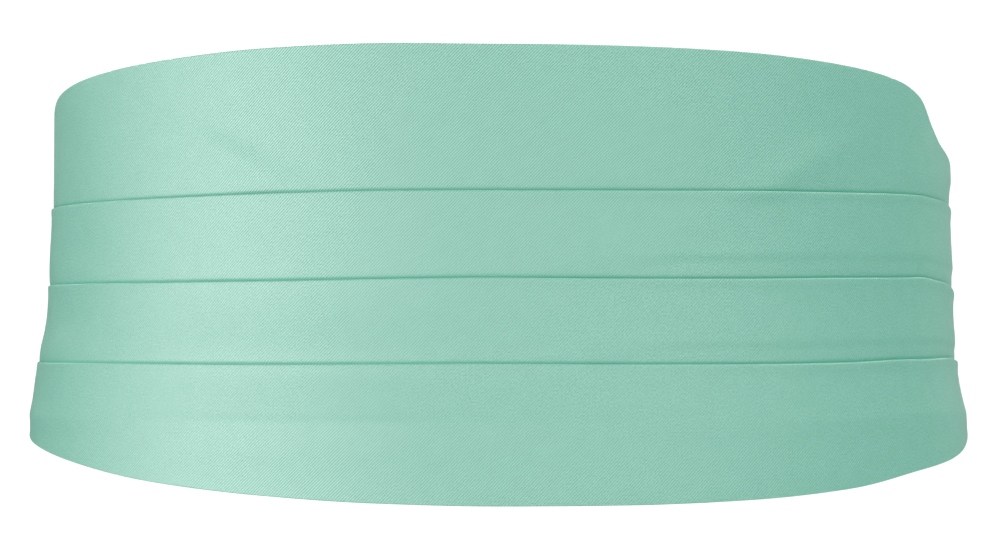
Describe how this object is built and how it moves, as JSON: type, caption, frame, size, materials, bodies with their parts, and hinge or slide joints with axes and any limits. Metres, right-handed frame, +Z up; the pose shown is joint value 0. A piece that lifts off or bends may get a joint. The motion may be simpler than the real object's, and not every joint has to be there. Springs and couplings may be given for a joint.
{
  "type": "cummerbund",
  "caption": "Pleated satin waist sash with upward-opening pleats, tapered to narrow ends that are joined at the back by two bands and a slotted clasp plate.",
  "frame": {"origin": "middle of the waist that the sash goes round, level with the middle of the panel's height in front", "axes": "+Z up along the waist, -Y the way the pleated front faces, +X to the right as the front is looked at"},
  "size_m": [0.2931, 0.2375, 0.1275],
  "materials": {
    "satin": "satin twill with a soft sheen",
    "band_cloth": "ribbed band, matte",
    "clasp_metal": "satin nickel"
  },
  "bodies": {
    "root": {"pleat_top": "satin", "pleat_upper": "satin", "pleat_lower": "satin", "pleat_bottom": "satin", "band_left": "band_cloth", "band_right": "band_cloth", "clasp": "clasp_metal"}
  },
  "joints": []
}
